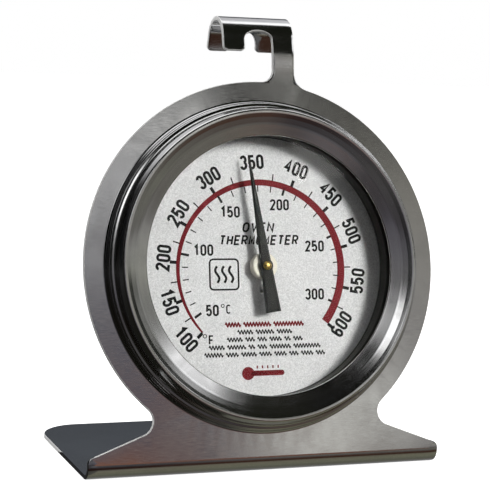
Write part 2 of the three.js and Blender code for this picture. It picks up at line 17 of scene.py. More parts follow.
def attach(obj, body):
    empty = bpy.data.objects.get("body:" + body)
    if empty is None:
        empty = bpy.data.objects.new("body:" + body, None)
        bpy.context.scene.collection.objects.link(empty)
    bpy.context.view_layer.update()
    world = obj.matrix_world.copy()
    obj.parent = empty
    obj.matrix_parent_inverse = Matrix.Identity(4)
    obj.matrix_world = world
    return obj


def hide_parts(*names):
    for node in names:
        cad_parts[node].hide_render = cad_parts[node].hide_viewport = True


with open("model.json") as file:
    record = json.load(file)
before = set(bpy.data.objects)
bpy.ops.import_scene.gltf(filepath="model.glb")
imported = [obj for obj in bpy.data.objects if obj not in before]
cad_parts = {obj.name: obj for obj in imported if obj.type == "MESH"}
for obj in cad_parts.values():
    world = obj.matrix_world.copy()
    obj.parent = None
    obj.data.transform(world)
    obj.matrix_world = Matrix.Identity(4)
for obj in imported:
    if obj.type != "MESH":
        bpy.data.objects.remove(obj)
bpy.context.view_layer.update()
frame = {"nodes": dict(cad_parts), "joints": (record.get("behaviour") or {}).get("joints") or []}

# ---- the stand's frame, from the pointer's joint ----

MM = 0.001
JOINT = frame["joints"][0]
DIAL_AXIS = Vector(JOINT["axis"])
LEAN = math.atan2(-DIAL_AXIS.z, DIAL_AXIS.y)
ORIGIN = Vector(JOINT["pos_m"])
TO_WORLD = Matrix.Translation(ORIGIN) @ Matrix.Rotation(-LEAN, 4, "X") @ Matrix.Scale(MM, 4)
TO_PLATE = TO_WORLD.inverted()


def extent(node):
    """The lowest and highest corner of a CAD node, in the stand's frame, in millimetres."""
    points = [TO_PLATE @ v.co for v in frame["nodes"][node].data.vertices]
    low = Vector([min(p[i] for p in points) for i in range(3)])
    high = Vector([max(p[i] for p in points) for i in range(3)])
    return low, high


# ---- camera, light and floor ----

CAMERA_PLACE = (-0.12119, -0.325703, 0.08737)
CAMERA_TURN = (82.834, -2.372, -20.364)
CAMERA_LENS = 120.38


def add_object(name, data):
    made = bpy.data.objects.new(name, data)
    bpy.context.scene.collection.objects.link(made)
    return made


def add_camera():
    data = bpy.data.cameras.new("camera")
    data.lens = CAMERA_LENS
    data.clip_start = 0.02
    data.clip_end = 20
    camera = add_object("camera", data)
    camera.location = CAMERA_PLACE
    camera.rotation_euler = [math.radians(a) for a in CAMERA_TURN]
    bpy.context.scene.camera = camera


def add_area_light(name, place, target, size, power, colour=(1, 1, 1)):
    """A square lamp that the metal doesn't mirror."""
    data = bpy.data.lights.new(name, "AREA")
    data.size = size
    data.energy = power
    data.color = colour
    light = add_object(name, data)
    light.location = place
    aim = Vector(target) - Vector(place)
    light.rotation_euler = aim.to_track_quat("-Z", "Y").to_euler()
    light.visible_glossy = False


# The studio round the object, by the angle in the vertical plane through the dial's axis: 0 is level
# in front, 90 overhead, 180 level behind and -90 straight down.
STUDIO = [
    (-180, (0.12, 0.12, 0.12)),
    (-173, (0.34, 0.34, 0.35)),
    (-150, (0.34, 0.34, 0.35)),
    (-100, (0.14, 0.14, 0.11)),
    (-48, (0.20, 0.195, 0.15)),
    (-38, (0.16, 0.14, 0.11)),
    (-34, (0.030, 0.014, 0.009)),
    (-26, (0.075, 0.034, 0.022)),
    (-20, (0.075, 0.055, 0.050)),
    (-14, (0.135, 0.130, 0.125)),
    (-8, (0.155, 0.150, 0.135)),
    (-2, (0.17, 0.165, 0.155)),
    (5, (0.12, 0.11, 0.11)),
    (6.8, (0.14, 0.13, 0.14)),
    (8, (0.30, 0.29, 0.30)),
    (12, (0.31, 0.305, 0.31)),
    (14.3, (0.40, 0.395, 0.38)),
    (17.4, (0.29, 0.285, 0.265)),
    (20, (0.15, 0.15, 0.14)),
    (20.7, (0.11, 0.11, 0.10)),
    (21.4, (0.035, 0.038, 0.032)),
    (22.3, (0.012, 0.013, 0.010)),
    (88, (0.010, 0.011, 0.008)),
    (94, (1.90, 1.90, 1.90)),
    (114, (1.90, 1.90, 1.90)),
    (120, (0.045, 0.048, 0.052)),
    (155, (0.050, 0.055, 0.065)),
    (164.5, (0.11, 0.12, 0.135)),
    (168, (0.050, 0.056, 0.065)),
    (180, (0.12, 0.12, 0.12)),
]
# How those tones change round the horizon: 0 is in front, 90 to the right and -90 to the left.
ROUND = [
    (-180, (0.60, 0.60, 0.60)),
    (-171, (0.08, 0.08, 0.08)),
    (-18, (0.08, 0.08, 0.08)),
    (-11, (0.44, 0.44, 0.48)),
    (-4, (0.50, 0.49, 0.54)),
    (4, (0.36, 0.36, 0.40)),
    (12, (0.46, 0.46, 0.52)),
    (17, (0.50, 0.50, 0.57)),
    (18.5, (0.56, 0.55, 0.60)),
    (20.5, (0.90, 0.89, 0.92)),
    (23, (1.10, 1.08, 1.04)),
    (30, (1.02, 1.00, 0.94)),
    (48, (1.12, 1.15, 1.06)),
    (90, (1.0, 1.0, 1.0)),
    (168, (1.0, 1.0, 1.0)),
    (180, (0.60, 0.60, 0.60)),
]
# Soft boxes that shine in the metal: direction round and up in degrees, inner and outer angle, colour.
SOFT_BOXES = [
    (43, 27, 1, 9, (1.9, 1.9, 1.93)),
    (50, 18, 2, 10, (0.30, 0.30, 0.285)),
    (-6, 27, 3, 9, (2.0, 2.0, 2.02)),
    (18.2, 18.2, 0.5, 2.9, (1.35, 1.35, 1.30)),
    (15.6, 16.4, 1, 4.0, (0.60, 0.60, 0.60)),
    (23.5, 8.2, 1, 4.4, (0.85, 0.85, 0.79)),
    (23.4, 18.9, 0.2, 1.1, (0.80, 0.80, 0.75)),
    (22, 0, 2, 6.2, (0.20, 0.085, 0.055)),
    (14.5, 2.4, 4.7, 5.8, (0.26, 0.125, 0.085)),
    (9, -6, 2, 8, (0.14, 0.135, 0.145)),
    (-143, 76, 18, 28, (1.6, 1.6, 1.6)),
    (150, 50, 6, 24, (0.80, 0.80, 0.82)),
    (-150, 45, 6, 24, (0.80, 0.80, 0.82)),
]
BACKGROUND = (1.0, 1.0, 1.0, 1.0)
# The share of the studio's light that falls on dull surfaces. The lamps light those.
FILL_SHARE = 0.06


def tones_round(tree, side, front, stops):
    """The stops' colours by the angle from the front towards a side, from -180 to 180 degrees."""
    angle = maths(tree, "ARCTAN2", side, front)
    share = maths(tree, "MULTIPLY_ADD", angle, 0.5 / math.pi, 0.5)
    return ramp(tree, share, [(0.5 + degrees / 360, colour) for degrees, colour in stops])


def facing(tree, ray, around, up):
    """The cosine of the angle between a ray and a direction."""
    a, e = math.radians(around), math.radians(up)
    aim = (math.sin(a) * math.cos(e), -math.cos(a) * math.cos(e), math.sin(e))
    return node(tree, "VectorMath", {0: ray, 1: aim}, operation="DOT_PRODUCT").outputs["Value"]


def add_studio():
    world = bpy.data.worlds.new("studio")
    bpy.context.scene.world = world
    world.use_nodes = True
    tree = world.node_tree
    tree.nodes.clear()
    ray = node(tree, "TexCoord").outputs["Generated"]
    parts = node(tree, "SeparateXYZ", {"Vector": ray})
    front = maths(tree, "MULTIPLY", parts.outputs["Y"], -1)
    tones = tones_round(tree, parts.outputs["Z"], front, STUDIO)
    change = tones_round(tree, parts.outputs["X"], front, ROUND)
    tones = node(tree, "VectorMath", {0: tones, 1: change}, operation="MULTIPLY").outputs[0]
    for around, up, near, far, colour in SOFT_BOXES:
        inputs = {
            "Value": facing(tree, ray, around, up),
            "From Min": math.cos(math.radians(far)), "From Max": math.cos(math.radians(near)),
        }
        box = node(tree, "MapRange", inputs, interpolation_type="SMOOTHSTEP").outputs[0]
        tones = blend_colours(tree, box, tones, colour)
    path = node(tree, "LightPath")
    is_fill = maths(tree, "GREATER_THAN", path.outputs["Diffuse Depth"], 0.5)
    strength = maths(tree, "MULTIPLY_ADD", is_fill, FILL_SHARE - 1, 1.0)
    light = node(tree, "Background", {"Color": tones, "Strength": strength})
    seen = node(tree, "Background", {"Color": BACKGROUND, "Strength": 1.0})
    is_camera = path.outputs["Is Camera Ray"]
    mix = node(tree, "MixShader", {0: is_camera, 1: light.outputs[0], 2: seen.outputs[0]})
    node(tree, "OutputWorld", {"Surface": mix.outputs[0]})


def add_floor():
    size, glow = 3.0, 0.86
    mesh = bpy.data.meshes.new("floor")
    corners = [(-size, -size, 0), (size, -size, 0), (size, size, 0), (-size, size, 0)]
    mesh.from_pydata(corners, [], [(0, 1, 2, 3)])
    floor = add_object("floor", mesh)
    surface("floor_pale", {
        "Base Color": (0.90, 0.90, 0.90, 1), "Roughness": 0.9,
        "Emission Color": (1, 1, 1, 1), "Emission Strength": glow,
    })
    mesh.materials.append(bpy.data.materials["floor_pale"])
    floor.visible_glossy = False
    floor.visible_diffuse = False
    floor.visible_transmission = False


# ---- node helpers ----


def node(tree, kind, inputs=None, **settings):
    """A new shader node with its inputs linked to sockets or set to plain values."""
    made = tree.nodes.new("ShaderNode" + kind)
    for name, value in settings.items():
        setattr(made, name, value)
    for name, value in (inputs or {}).items():
        if isinstance(value, bpy.types.NodeSocket):
            tree.links.new(value, made.inputs[name])
        else:
            made.inputs[name].default_value = value
    return made


def maths(tree, operation, *values):
    inputs = dict(enumerate(values))
    return node(tree, "Math", inputs, operation=operation).outputs[0]


def ramp(tree, factor, stops):
    """A colour ramp with (place, colour) stops."""
    made = node(tree, "ValToRGB", {"Fac": factor})
    elements = made.color_ramp.elements
    while len(elements) < len(stops):
        elements.new(0.5)
    for element, (place, colour) in zip(elements, stops):
        element.position = place
        element.color = (*colour, 1)
    return made.outputs["Color"]


def blend_colours(tree, factor, first, second):
    made = node(tree, "Mix", {0: factor}, data_type="RGBA")
    for socket, value in ((made.inputs[6], first), (made.inputs[7], second)):
        if isinstance(value, bpy.types.NodeSocket):
            tree.links.new(value, socket)
        else:
            socket.default_value = (*value, 1)
    return made.outputs[2]


def surface(name, inputs=None):
    """A new material with one Principled shader."""
    material = bpy.data.materials.new(name)
    material.use_nodes = True
    tree = material.node_tree
    tree.nodes.clear()
    shader = node(tree, "BsdfPrincipled", inputs)
    node(tree, "OutputMaterial", {"Surface": shader.outputs[0]})
    return tree, shader


def plate_place(tree):
    """The surface point in the stand's frame, in millimetres."""
    point = node(tree, "TexCoord").outputs["Object"]
    inputs = {
        "Vector": point, "Location": ORIGIN, "Rotation": (-LEAN, 0, 0), "Scale": (MM, MM, MM),
    }
    return node(tree, "Mapping", inputs, vector_type="TEXTURE").outputs[0]


def stretched(tree, point, scale):
    return node(tree, "Mapping", {"Vector": point, "Scale": scale}).outputs[0]


def noise(tree, point, scale, detail=2.0, roughness=0.5, distortion=0.0):
    inputs = {
        "Vector": point, "Scale": scale, "Detail": detail,
        "Roughness": roughness, "Distortion": distortion,
    }
    return node(tree, "TexNoise", inputs).outputs["Fac"]


def spread(tree, value, low, high, start=0.3, end=0.7):
    """value from start to end taken to low to high."""
    inputs = {"Value": value, "From Min": start, "From Max": end, "To Min": low, "To Max": high}
    return node(tree, "MapRange", inputs).outputs[0]


def bump(tree, height, micrometres, normal=None):
    inputs = {"Height": height, "Distance": micrometres * 1e-6, "Strength": 1.0}
    if normal is not None:
        inputs["Normal"] = normal
    return node(tree, "Bump", inputs).outputs[0]


# ---- materials ----


def link(tree, source, shader, name):
    tree.links.new(source, shader.inputs[name])


# Added to the first uv coordinate of a sheared edge, where the steel gets a painted highlight: pale,
# less metallic and rougher above a height, in place of the bright reflections that edge catches.
EDGE_HIGHLIGHT_SHIFT = 1000
EDGE_HIGHLIGHT_ABOVE = -37.2
EDGE_HIGHLIGHT_PALE = (0.88, 0.88, 0.87)


def brushed_steel(name, dark, light, roughness=0.115):
    """Stainless sheet with its brushing along x: short fine lines, faint clouds and small scratches, and
    a painted pale highlight on its upright sheared edges.
    """
    tree, shader = surface(name, {"Anisotropic": 0.5})
    point = plate_place(tree)
    lines = noise(tree, stretched(tree, point, (0.45, 6.0, 6.0)), 1.0, 3, 0.6)
    hairs = noise(tree, stretched(tree, point, (1.2, 16.0, 16.0)), 1.0, 2, 0.5)
    clouds = noise(tree, stretched(tree, point, (0.08, 0.09, 0.09)), 1.0, 3, 0.55, 0.4)
    specks = noise(tree, point, 3.5, 1, 0.5)
    scratches = noise(tree, stretched(tree, point, (0.9, 2.2, 2.2)), 1.3, 1, 0.3, 1.5)
    shade = maths(tree, "ADD", spread(tree, lines, 0, 0.55), spread(tree, hairs, 0, 0.45))
    tone = blend_colours(tree, shade, dark, light)
    tone = blend_colours(tree, spread(tree, clouds, 0.0, 0.3), tone, tuple(0.85 * c for c in dark))
    tone = blend_colours(tree, spread(tree, specks, 0.0, 0.25, 0.62, 0.75), tone, (0.9, 0.9, 0.9))
    # Painted highlight: the shifted uvs mark the sheared edge, which is painted pale and less metallic
    # above a height.
    across = node(tree, "SeparateXYZ", {"Vector": node(tree, "UVMap").outputs[0]}).outputs["X"]
    height = node(tree, "SeparateXYZ", {"Vector": point}).outputs["Z"]
    is_upright = maths(tree, "GREATER_THAN", height, EDGE_HIGHLIGHT_ABOVE)
    is_highlit_edge = maths(tree, "MULTIPLY", maths(tree, "GREATER_THAN", across, EDGE_HIGHLIGHT_SHIFT / 2), is_upright)
    link(tree, blend_colours(tree, is_highlit_edge, tone, EDGE_HIGHLIGHT_PALE), shader, "Base Color")
    link(tree, maths(tree, "MULTIPLY_ADD", is_highlit_edge, -0.65, 1.0), shader, "Metallic")
    link(tree, node(tree, "Tangent", direction_type="UV_MAP").outputs[0], shader, "Tangent")
    rough = maths(tree, "ADD", spread(tree, lines, -0.04, 0.04), spread(tree, clouds, -0.03, 0.04))
    rough = maths(tree, "MULTIPLY_ADD", is_highlit_edge, 0.3, rough)
    link(tree, maths(tree, "ADD", rough, roughness), shader, "Roughness")
    marks = spread(tree, scratches, 0.0, 1.0, 0.68, 0.75)
    relief = bump(tree, lines, 0.30)
    relief = bump(tree, hairs, 0.12, relief)
    relief = bump(tree, marks, -0.4, relief)
    link(tree, relief, shader, "Normal")
    return bpy.data.materials[name]


def spun_steel(name, dark, light, roughness=0.14, anisotropic=0.3):
    """Pressed steel polished on a lathe: fine rings about the dial's axis and soft clouds."""
    tree, shader = surface(name, {"Metallic": 1.0, "Anisotropic": anisotropic})
    point = plate_place(tree)
    parts = node(tree, "SeparateXYZ", {"Vector": point})
    flat = node(tree, "CombineXYZ", {"X": parts.outputs["X"], "Z": parts.outputs["Z"]}).outputs[0]
    radius = node(tree, "VectorMath", {0: flat}, operation="LENGTH").outputs["Value"]
    rings = node(tree, "CombineXYZ", {"X": radius, "Y": parts.outputs["Y"]}).outputs[0]
    fine = noise(tree, rings, 7.0, 3, 0.6)
    clouds = noise(tree, point, 0.16, 3, 0.55, 0.5)
    specks = noise(tree, point, 2.4, 1, 0.5)
    tone = blend_colours(tree, spread(tree, fine, 0, 1), dark, light)
    tone = blend_colours(tree, spread(tree, clouds, 0.0, 0.3), tone, tuple(0.8 * c for c in dark))
    link(tree, tone, shader, "Base Color")
    link(tree, node(tree, "Tangent", direction_type="UV_MAP").outputs[0], shader, "Tangent")
    rough = maths(tree, "ADD", spread(tree, fine, -0.03, 0.04), spread(tree, clouds, -0.03, 0.05))
    link(tree, maths(tree, "ADD", rough, roughness), shader, "Roughness")
    relief = bump(tree, fine, 0.5)
    relief = bump(tree, spread(tree, specks, 0, 1, 0.62, 0.7), 0.4, relief)
    link(tree, relief, shader, "Normal")
    return bpy.data.materials[name]


def grained(name, dark, light, roughness, metallic=0.0, scale=3.0, relief=2.0, shine=0.5):
    """A painted, moulded or cast surface: fine grain over soft clouds."""
    tree, shader = surface(name, {"Metallic": metallic, "Specular IOR Level": shine})
    point = plate_place(tree)
    grain = noise(tree, point, scale, 3, 0.6)
    clouds = noise(tree, point, 0.2, 2, 0.5, 0.3)
    shade = maths(tree, "ADD", spread(tree, grain, 0, 0.86), spread(tree, clouds, 0, 0.14))
    link(tree, blend_colours(tree, shade, dark, light), shader, "Base Color")
    link(tree, maths(tree, "ADD", spread(tree, grain, -0.06, 0.06), roughness), shader, "Roughness")
    link(tree, bump(tree, grain, relief), shader, "Normal")
    return bpy.data.materials[name]


def clear_glass(name):
    """Flat glass. Light from the lamps passes through it to the dial."""
    tree, shader = surface(name, {
        "Base Color": (0.985, 0.99, 0.985, 1), "Transmission Weight": 1.0, "IOR": 1.16,
    })
    point = plate_place(tree)
    smear = noise(tree, point, 0.12, 2, 0.5, 0.6)
    link(tree, spread(tree, smear, 0.0, 0.03), shader, "Roughness")
    clear = node(tree, "BsdfTransparent", {"Color": (0.95, 0.955, 0.95, 1)})
    is_shadow = node(tree, "LightPath").outputs["Is Shadow Ray"]
    mix = node(tree, "MixShader", {0: is_shadow, 1: shader.outputs[0], 2: clear.outputs[0]})
    output = next(n for n in tree.nodes if n.type == "OUTPUT_MATERIAL")
    tree.links.new(mix.outputs[0], output.inputs["Surface"])
    return bpy.data.materials[name]


# ---- mesh helpers ----


def make_piece(name, points, faces, material, replaced, uvs=None, sharp=40, body="case"):
    """A mesh object from points in the stand's frame, riding on a CAD body."""
    mesh = bpy.data.meshes.new(name)
    mesh.from_pydata([TO_WORLD @ Vector(p) for p in points], [], faces)
    if uvs:
        layer = mesh.uv_layers.new(name="across")
        for polygon, corners in zip(mesh.polygons, uvs):
            for loop, uv in zip(polygon.loop_indices, corners):
                layer.data[loop].uv = uv
    shell = bmesh.new()
    shell.from_mesh(mesh)
    bmesh.ops.remove_doubles(shell, verts=shell.verts, dist=1e-8)
    bmesh.ops.recalc_face_normals(shell, faces=shell.faces)
    shell.to_mesh(mesh)
    shell.free()
    mesh.shade_smooth()
    mesh.set_sharp_from_angle(angle=math.radians(sharp))
    mesh.materials.append(material)
    piece = add_object(name, mesh)
    weighted = piece.modifiers.new("flat_faces", "WEIGHTED_NORMAL")
    weighted.keep_sharp = True
    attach(piece, body)
    if replaced:
        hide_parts(*replaced)


def spaced(end, count):
    """Evenly spaced numbers from 0 to end, both included."""
    return [end * i / count for i in range(count + 1)]


def ellipse(x, z, wide, high, start, end, step=12):
    """Points along part of an ellipse, in degrees, both ends included."""
    count = max(1, round(abs(end - start) / step))
    angles = [math.radians(start + a) for a in spaced(end - start, count)]
    return [(x + wide * math.cos(a), z + high * math.sin(a)) for a in angles]


def arc(x, z, radius, start, end, step=6):
    return ellipse(x, z, radius, radius, start, end, step)


def circle(x, z, radius, steps, turn=1):
    """A full circle, anticlockwise, or clockwise for a hole with turn -1."""
    angles = [turn * 2 * math.pi * i / steps for i in range(steps)]
    return [(x + radius * math.cos(a), z + radius * math.sin(a)) for a in angles]


def rounded(corners, segments=5, closed=True):
    """A profile whose corners (r, y, radius) are rounded. A corner with no radius stays sharp."""
    made = []
    count = len(corners)
    for i, corner in enumerate(corners):
        here = Vector(corner[:2])
        radius = corner[2] if len(corner) > 2 else 0
        if radius == 0 or (not closed and i in (0, count - 1)):
            made.append(tuple(here))
            continue
        before = Vector(corners[i - 1][:2]) - here
        after = Vector(corners[(i + 1) % count][:2]) - here
        half = before.angle(after) / 2
        reach = min(radius / math.tan(half), 0.49 * before.length, 0.49 * after.length)
        start = here + before.normalized() * reach
        end = here + after.normalized() * reach
        for t in spaced(1, segments):
            made.append(tuple(start * (1 - t) ** 2 + here * (2 * t * (1 - t)) + end * t ** 2))
    return made


def lathe(profile, steps=192, closed=True):
    """A surface turned about the dial's axis from (r, y) points: its points, faces and uvs."""
    points, rows, faces, uvs, along = [], [], [], [], [0.0]
    for r, y in profile:
        count = 1 if r < 1e-6 else steps
        rows.append([len(points) + j % count for j in range(steps)])
        for j in range(count):
            a = 2 * math.pi * j / steps
            points.append((r * math.sin(a), y, r * math.cos(a)))
    ends = list(range(1, len(profile))) + ([0] if closed else [])
    for i in ends:
        here, there = profile[i - 1], profile[i]
        along.append(along[-1] + math.dist(here, there))
        first, second = rows[i - 1], rows[i]
        for j in range(steps):
            k = (j + 1) % steps
            u, v, w = along[-2], along[-1], (j / steps, (j + 1) / steps)
            corners = [(first[j], (u, w[0])), (first[k], (u, w[1])),
                       (second[k], (v, w[1])), (second[j], (v, w[0]))]
            if first[j] == first[k]:
                corners.pop(1)
            elif second[j] == second[k]:
                corners.pop(2)
            faces.append([c[0] for c in corners])
            uvs.append([c[1] for c in corners])
    return points, faces, uvs


def turned(name, profile, material, replaced, steps=192, closed=True, body="case"):
    points, faces, uvs = lathe(profile, steps, closed)
    make_piece(name, points, faces, material, replaced, uvs, body=body)


def loft(rows):
    """Faces that join rows of point numbers into a closed bar."""
    faces = [rows[0], rows[-1]]
    for first, second in zip(rows, rows[1:]):
        faces += [[first[k - 1], first[k], second[k], second[k - 1]] for k in range(len(first))]
    return faces


def inset(loop, amount):
    """A loop moved into the material, which lies on its left."""
    moved = []
    for i, here in enumerate(loop):
        before, after = loop[i - 1], loop[(i + 1) % len(loop)]
        first = Vector((here[0] - before[0], here[1] - before[1])).normalized()
        second = Vector((after[0] - here[0], after[1] - here[1])).normalized()
        left = Vector((-first.y - second.y, first.x + second.x))
        left /= max(1 + first.dot(second), 0.3)
        moved.append((here[0] + left.x * amount, here[1] + left.y * amount))
    return moved


def is_inside(loop, x, z):
    inside = False
    for i, (x1, z1) in enumerate(loop):
        x0, z0 = loop[i - 1]
        if (z1 > z) != (z0 > z) and x < (x0 - x1) * (z - z1) / (z0 - z1) + x1:
            inside = not inside
    return inside


def triangles(loops, inner):
    """Triangles between the first loop and its holes, over the loops' points and the inner ones."""
    points = [Vector(p) for loop in loops for p in loop] + [Vector(p) for p in inner]
    edges, start = [], 0
    for loop in loops:
        count = len(loop)
        edges += [(start + i, start + (i + 1) % count) for i in range(count)]
        start += count
    found = delaunay_2d_cdt(points, edges, [], 0, 1e-7)
    places, shapes, sources = found[0], found[2], found[3]
    kept = []
    for shape in shapes:
        x = sum(places[i].x for i in shape) / 3
        z = sum(places[i].y for i in shape) / 3
        if is_inside(loops[0], x, z) and not any(is_inside(hole, x, z) for hole in loops[1:]):
            kept.append([sources[i][0] for i in shape])
    return kept


def edge(thickness, front=0.15, back=0.1, steps=3):
    """A rounded sheet edge as (inset, depth) from the front face to the back face."""
    angles = spaced(math.pi / 2, steps)
    return [
        *[(front * (1 - math.sin(a)), front * (1 - math.cos(a))) for a in angles],
        *[(back * (1 - math.cos(a)), thickness - back * (1 - math.sin(a))) for a in angles],
    ]


def sheet(loops, rims, place, inner=()):
    """A sheet from flat loops. Each rim says how its edge runs from the front face to the back, as
    (inset, depth), and place takes a flat point and a depth to the stand's frame. The uvs of the
    first loop's rim are shifted, which tells the material to paint a pale highlight on that sheared
    edge."""
    points, faces, uvs, flats, caps = [], [], [], [], []

    def add(x, z, depth):
        points.append(place(x, z, depth))
        flats.append((z, x))
        return len(points) - 1

    def face(corners, shift=0):
        faces.append(corners)
        uvs.append([(flats[c][0] + shift, flats[c][1]) for c in corners])

    for loop, rim in zip(loops, rims):
        rows = [[add(x, z, depth) for x, z in inset(loop, amount)] for amount, depth in rim]
        # The outer rim is marked for the painted edge highlight.
        shift = EDGE_HIGHLIGHT_SHIFT if loop is loops[0] else 0
        for first, second in zip(rows, rows[1:]):
            for j in range(len(loop)):
                face([first[j - 1], first[j], second[j], second[j - 1]], shift)
        caps.append((rows[0], rows[-1]))
    for side, index in ((0, 0), (1, -1)):
        edges = [inset(loop, rim[index][0]) for loop, rim in zip(loops, rims)]
        depth = rims[0][index][1]
        ids = [i for cap in caps for i in cap[side]] + [add(x, z, depth) for x, z in inner]
        for shape in triangles(edges, inner):
            face([ids[i] for i in shape])
    return points, faces, uvs


# ---- the stand ----

SHEET = 0.9
RING_R = 38.1
HOLE_R = 32.6
COLLAR_H = 1.4
FOOT_BEND_Z = -38.65
FOOT_BEND_R = 2.95
FOOT_DEPTH = 41.4
FOOT_CORNER_R = 9
TAB_LEFT = 3.15
TAB_RIGHT = 7.9
HOOK_LEFT = -7.6
HOOK_TOP = 52.3
HOOK_R = 4.9
HOOK_TURN = math.radians(154)
HOOK_LEG = 3.5
FRONT_LEG_BOTTOM = 44.4
WING_SLOPE = -20.5
WAIST_ANGLE = -48
WAIST_R = 3
WING_TIP_R = 1.3
# The tab bows forward from a height up to the hook's bend. A higher power moves the crest up.
TAB_BOW = 0.25
TAB_BOW_START = 37.8
TAB_BOW_POWER = 1.6

HOOK_BEND_Z = HOOK_TOP - HOOK_R
HOOK_BEND_END = HOOK_BEND_Z + HOOK_TURN * HOOK_R
HOOK_END = HOOK_BEND_END + HOOK_LEG
FOOT_TURN = math.pi / 2 + LEAN
FOOT_BEND_END = FOOT_BEND_Z - FOOT_TURN * FOOT_BEND_R
FOOT_END = FOOT_BEND_END - FOOT_DEPTH


def tab_bow(run):
    """How far forward the hook's bending pulled the tab."""
    share = (run - TAB_BOW_START) / (HOOK_BEND_Z - TAB_BOW_START)
    return TAB_BOW * math.sin(math.pi * share ** TAB_BOW_POWER) ** 2 if 0 < share < 1 else 0.0


def bend(length, radius, full_turn, depth):
    """How far back and along the sheet is, this length past the start of a bend."""
    turn = min(length / radius, full_turn)
    past = max(0.0, length - radius * full_turn)
    middle = radius - depth
    return (radius - middle * math.cos(turn) + past * math.sin(turn),
            middle * math.sin(turn) + past * math.cos(turn))


def fold(x, run, depth):
    """The flat blank's point (x, run), this deep behind its front face, on the folded stand."""
    if run > HOOK_BEND_Z:
        y, rise = bend(run - HOOK_BEND_Z, HOOK_R, HOOK_TURN, depth)
        return (x, y, HOOK_BEND_Z + rise)
    if run < FOOT_BEND_Z:
        y, drop = bend(FOOT_BEND_Z - run, FOOT_BEND_R, FOOT_TURN, depth)
        return (x, y, FOOT_BEND_Z - drop)
    return (x, depth - tab_bow(run), run)


def wing_edge():
    """The right edge from the foot's bend up to the ring."""
    reach = RING_R + WAIST_R
    waist = math.radians(WAIST_ANGLE)
    waist_x, waist_z = reach * math.cos(waist), reach * math.sin(waist)
    normal = math.radians(WING_SLOPE + 90)
    start_x = waist_x - WAIST_R * math.cos(normal)
    start_z = waist_z - WAIST_R * math.sin(normal)
    tip_x = RING_R - WING_TIP_R
    edge_z = start_z + (tip_x - start_x) * math.tan(math.radians(WING_SLOPE))
    tip_z = edge_z - WING_TIP_R / math.cos(math.radians(WING_SLOPE))
    return [
        (RING_R, FOOT_BEND_Z),
        *arc(tip_x, tip_z, WING_TIP_R, 0, WING_SLOPE + 90, 8),
        *arc(waist_x, waist_z, WAIST_R, WING_SLOPE + 270, 180 + WAIST_ANGLE),
    ]


def tab_fillet(edge_x, radius):
    """The fillet between the ring and a tab edge, from the ring, and where it leaves the ring."""
    size, x = abs(radius), edge_x + radius
    z = math.sqrt((RING_R + size) ** 2 - x * x)
    angle = math.degrees(math.atan2(z, x))
    return angle, arc(x, z, size, angle - 180, -180 if radius > 0 else 0)


def foot_corner():
    return arc(RING_R - FOOT_CORNER_R, FOOT_END + FOOT_CORNER_R, FOOT_CORNER_R, -90, 0)


def mirrored(points):
    return [(-x, z) for x, z in reversed(points)]


def hook_edges():
    """Round the hook's free ends and both slots, from the tab's right edge to its left edge."""
    slot_x, slot_r = 0.15, 3.0
    slot_left, slot_right = slot_x - slot_r, slot_x + slot_r
    front_z, front_rise = 47.0, 1.8
    rear_z, rear_rise = HOOK_END - 1.0, 3.6
    corner = 0.9
    end = HOOK_END - corner
    bottom = FRONT_LEG_BOTTOM + corner
    return [
        *arc(TAB_RIGHT - corner, end, corner, 0, 90, 15),
        *arc(slot_right + corner, end, corner, 90, 180, 15),
        *ellipse(slot_x, rear_z, slot_r, rear_rise, 0, -180, 5),
        *arc(slot_left - corner, end, corner, 0, 90, 15),
        *arc(HOOK_LEFT + corner, end, corner, 90, 180, 15),
        *arc(HOOK_LEFT + corner, bottom, corner, 180, 270, 15),
        *arc(slot_left - corner, bottom, corner, -90, 0, 15),
        *ellipse(slot_x, front_z, slot_r, front_rise, 180, 0, 5),
    ]


def stand_outline():
    wing = wing_edge()
    right_angle, right_fillet = tab_fillet(TAB_RIGHT, 3.6)
    left_angle, left_fillet = tab_fillet(TAB_LEFT, -2.6)
    return [
        *foot_corner(),
        *wing,
        *arc(0, 0, RING_R, WAIST_ANGLE, right_angle, 2)[1:-1],
        *right_fillet,
        *hook_edges(),
        *reversed(left_fillet),
        *arc(0, 0, RING_R, left_angle, 180 - WAIST_ANGLE, 2)[1:-1],
        *mirrored(wing),
        *mirrored(foot_corner()),
    ]


def split_at_rows(loop, rows):
    """The loop with a point wherever it crosses one of the rows."""
    made = []
    for i, (x1, z1) in enumerate(loop):
        x0, z0 = loop[i - 1]
        crossed = [z for z in rows if min(z0, z1) + 0.05 < z < max(z0, z1) - 0.05]
        for z in sorted(crossed, reverse=z1 < z0):
            made.append((x0 + (x1 - x0) * (z - z0) / (z1 - z0), z))
        made.append((x1, z1))
    return made


def collar_rim():
    """From the plate's front face over the drawn collar and back to the rear face, as (inset, depth)."""
    fillet, lip, flare = 0.6, 0.5, 0.9
    top = lip - COLLAR_H
    return [
        *[(2 * lip + fillet - fillet * math.sin(a), fillet * (math.cos(a) - 1))
          for a in spaced(math.pi / 2, 5)],
        *[(lip + lip * math.cos(a), top - lip * math.sin(a)) for a in spaced(math.pi, 10)],
        *[(flare - flare * math.cos(a), SHEET - flare + flare * math.sin(a))
          for a in spaced(math.pi / 2, 6)],
    ]


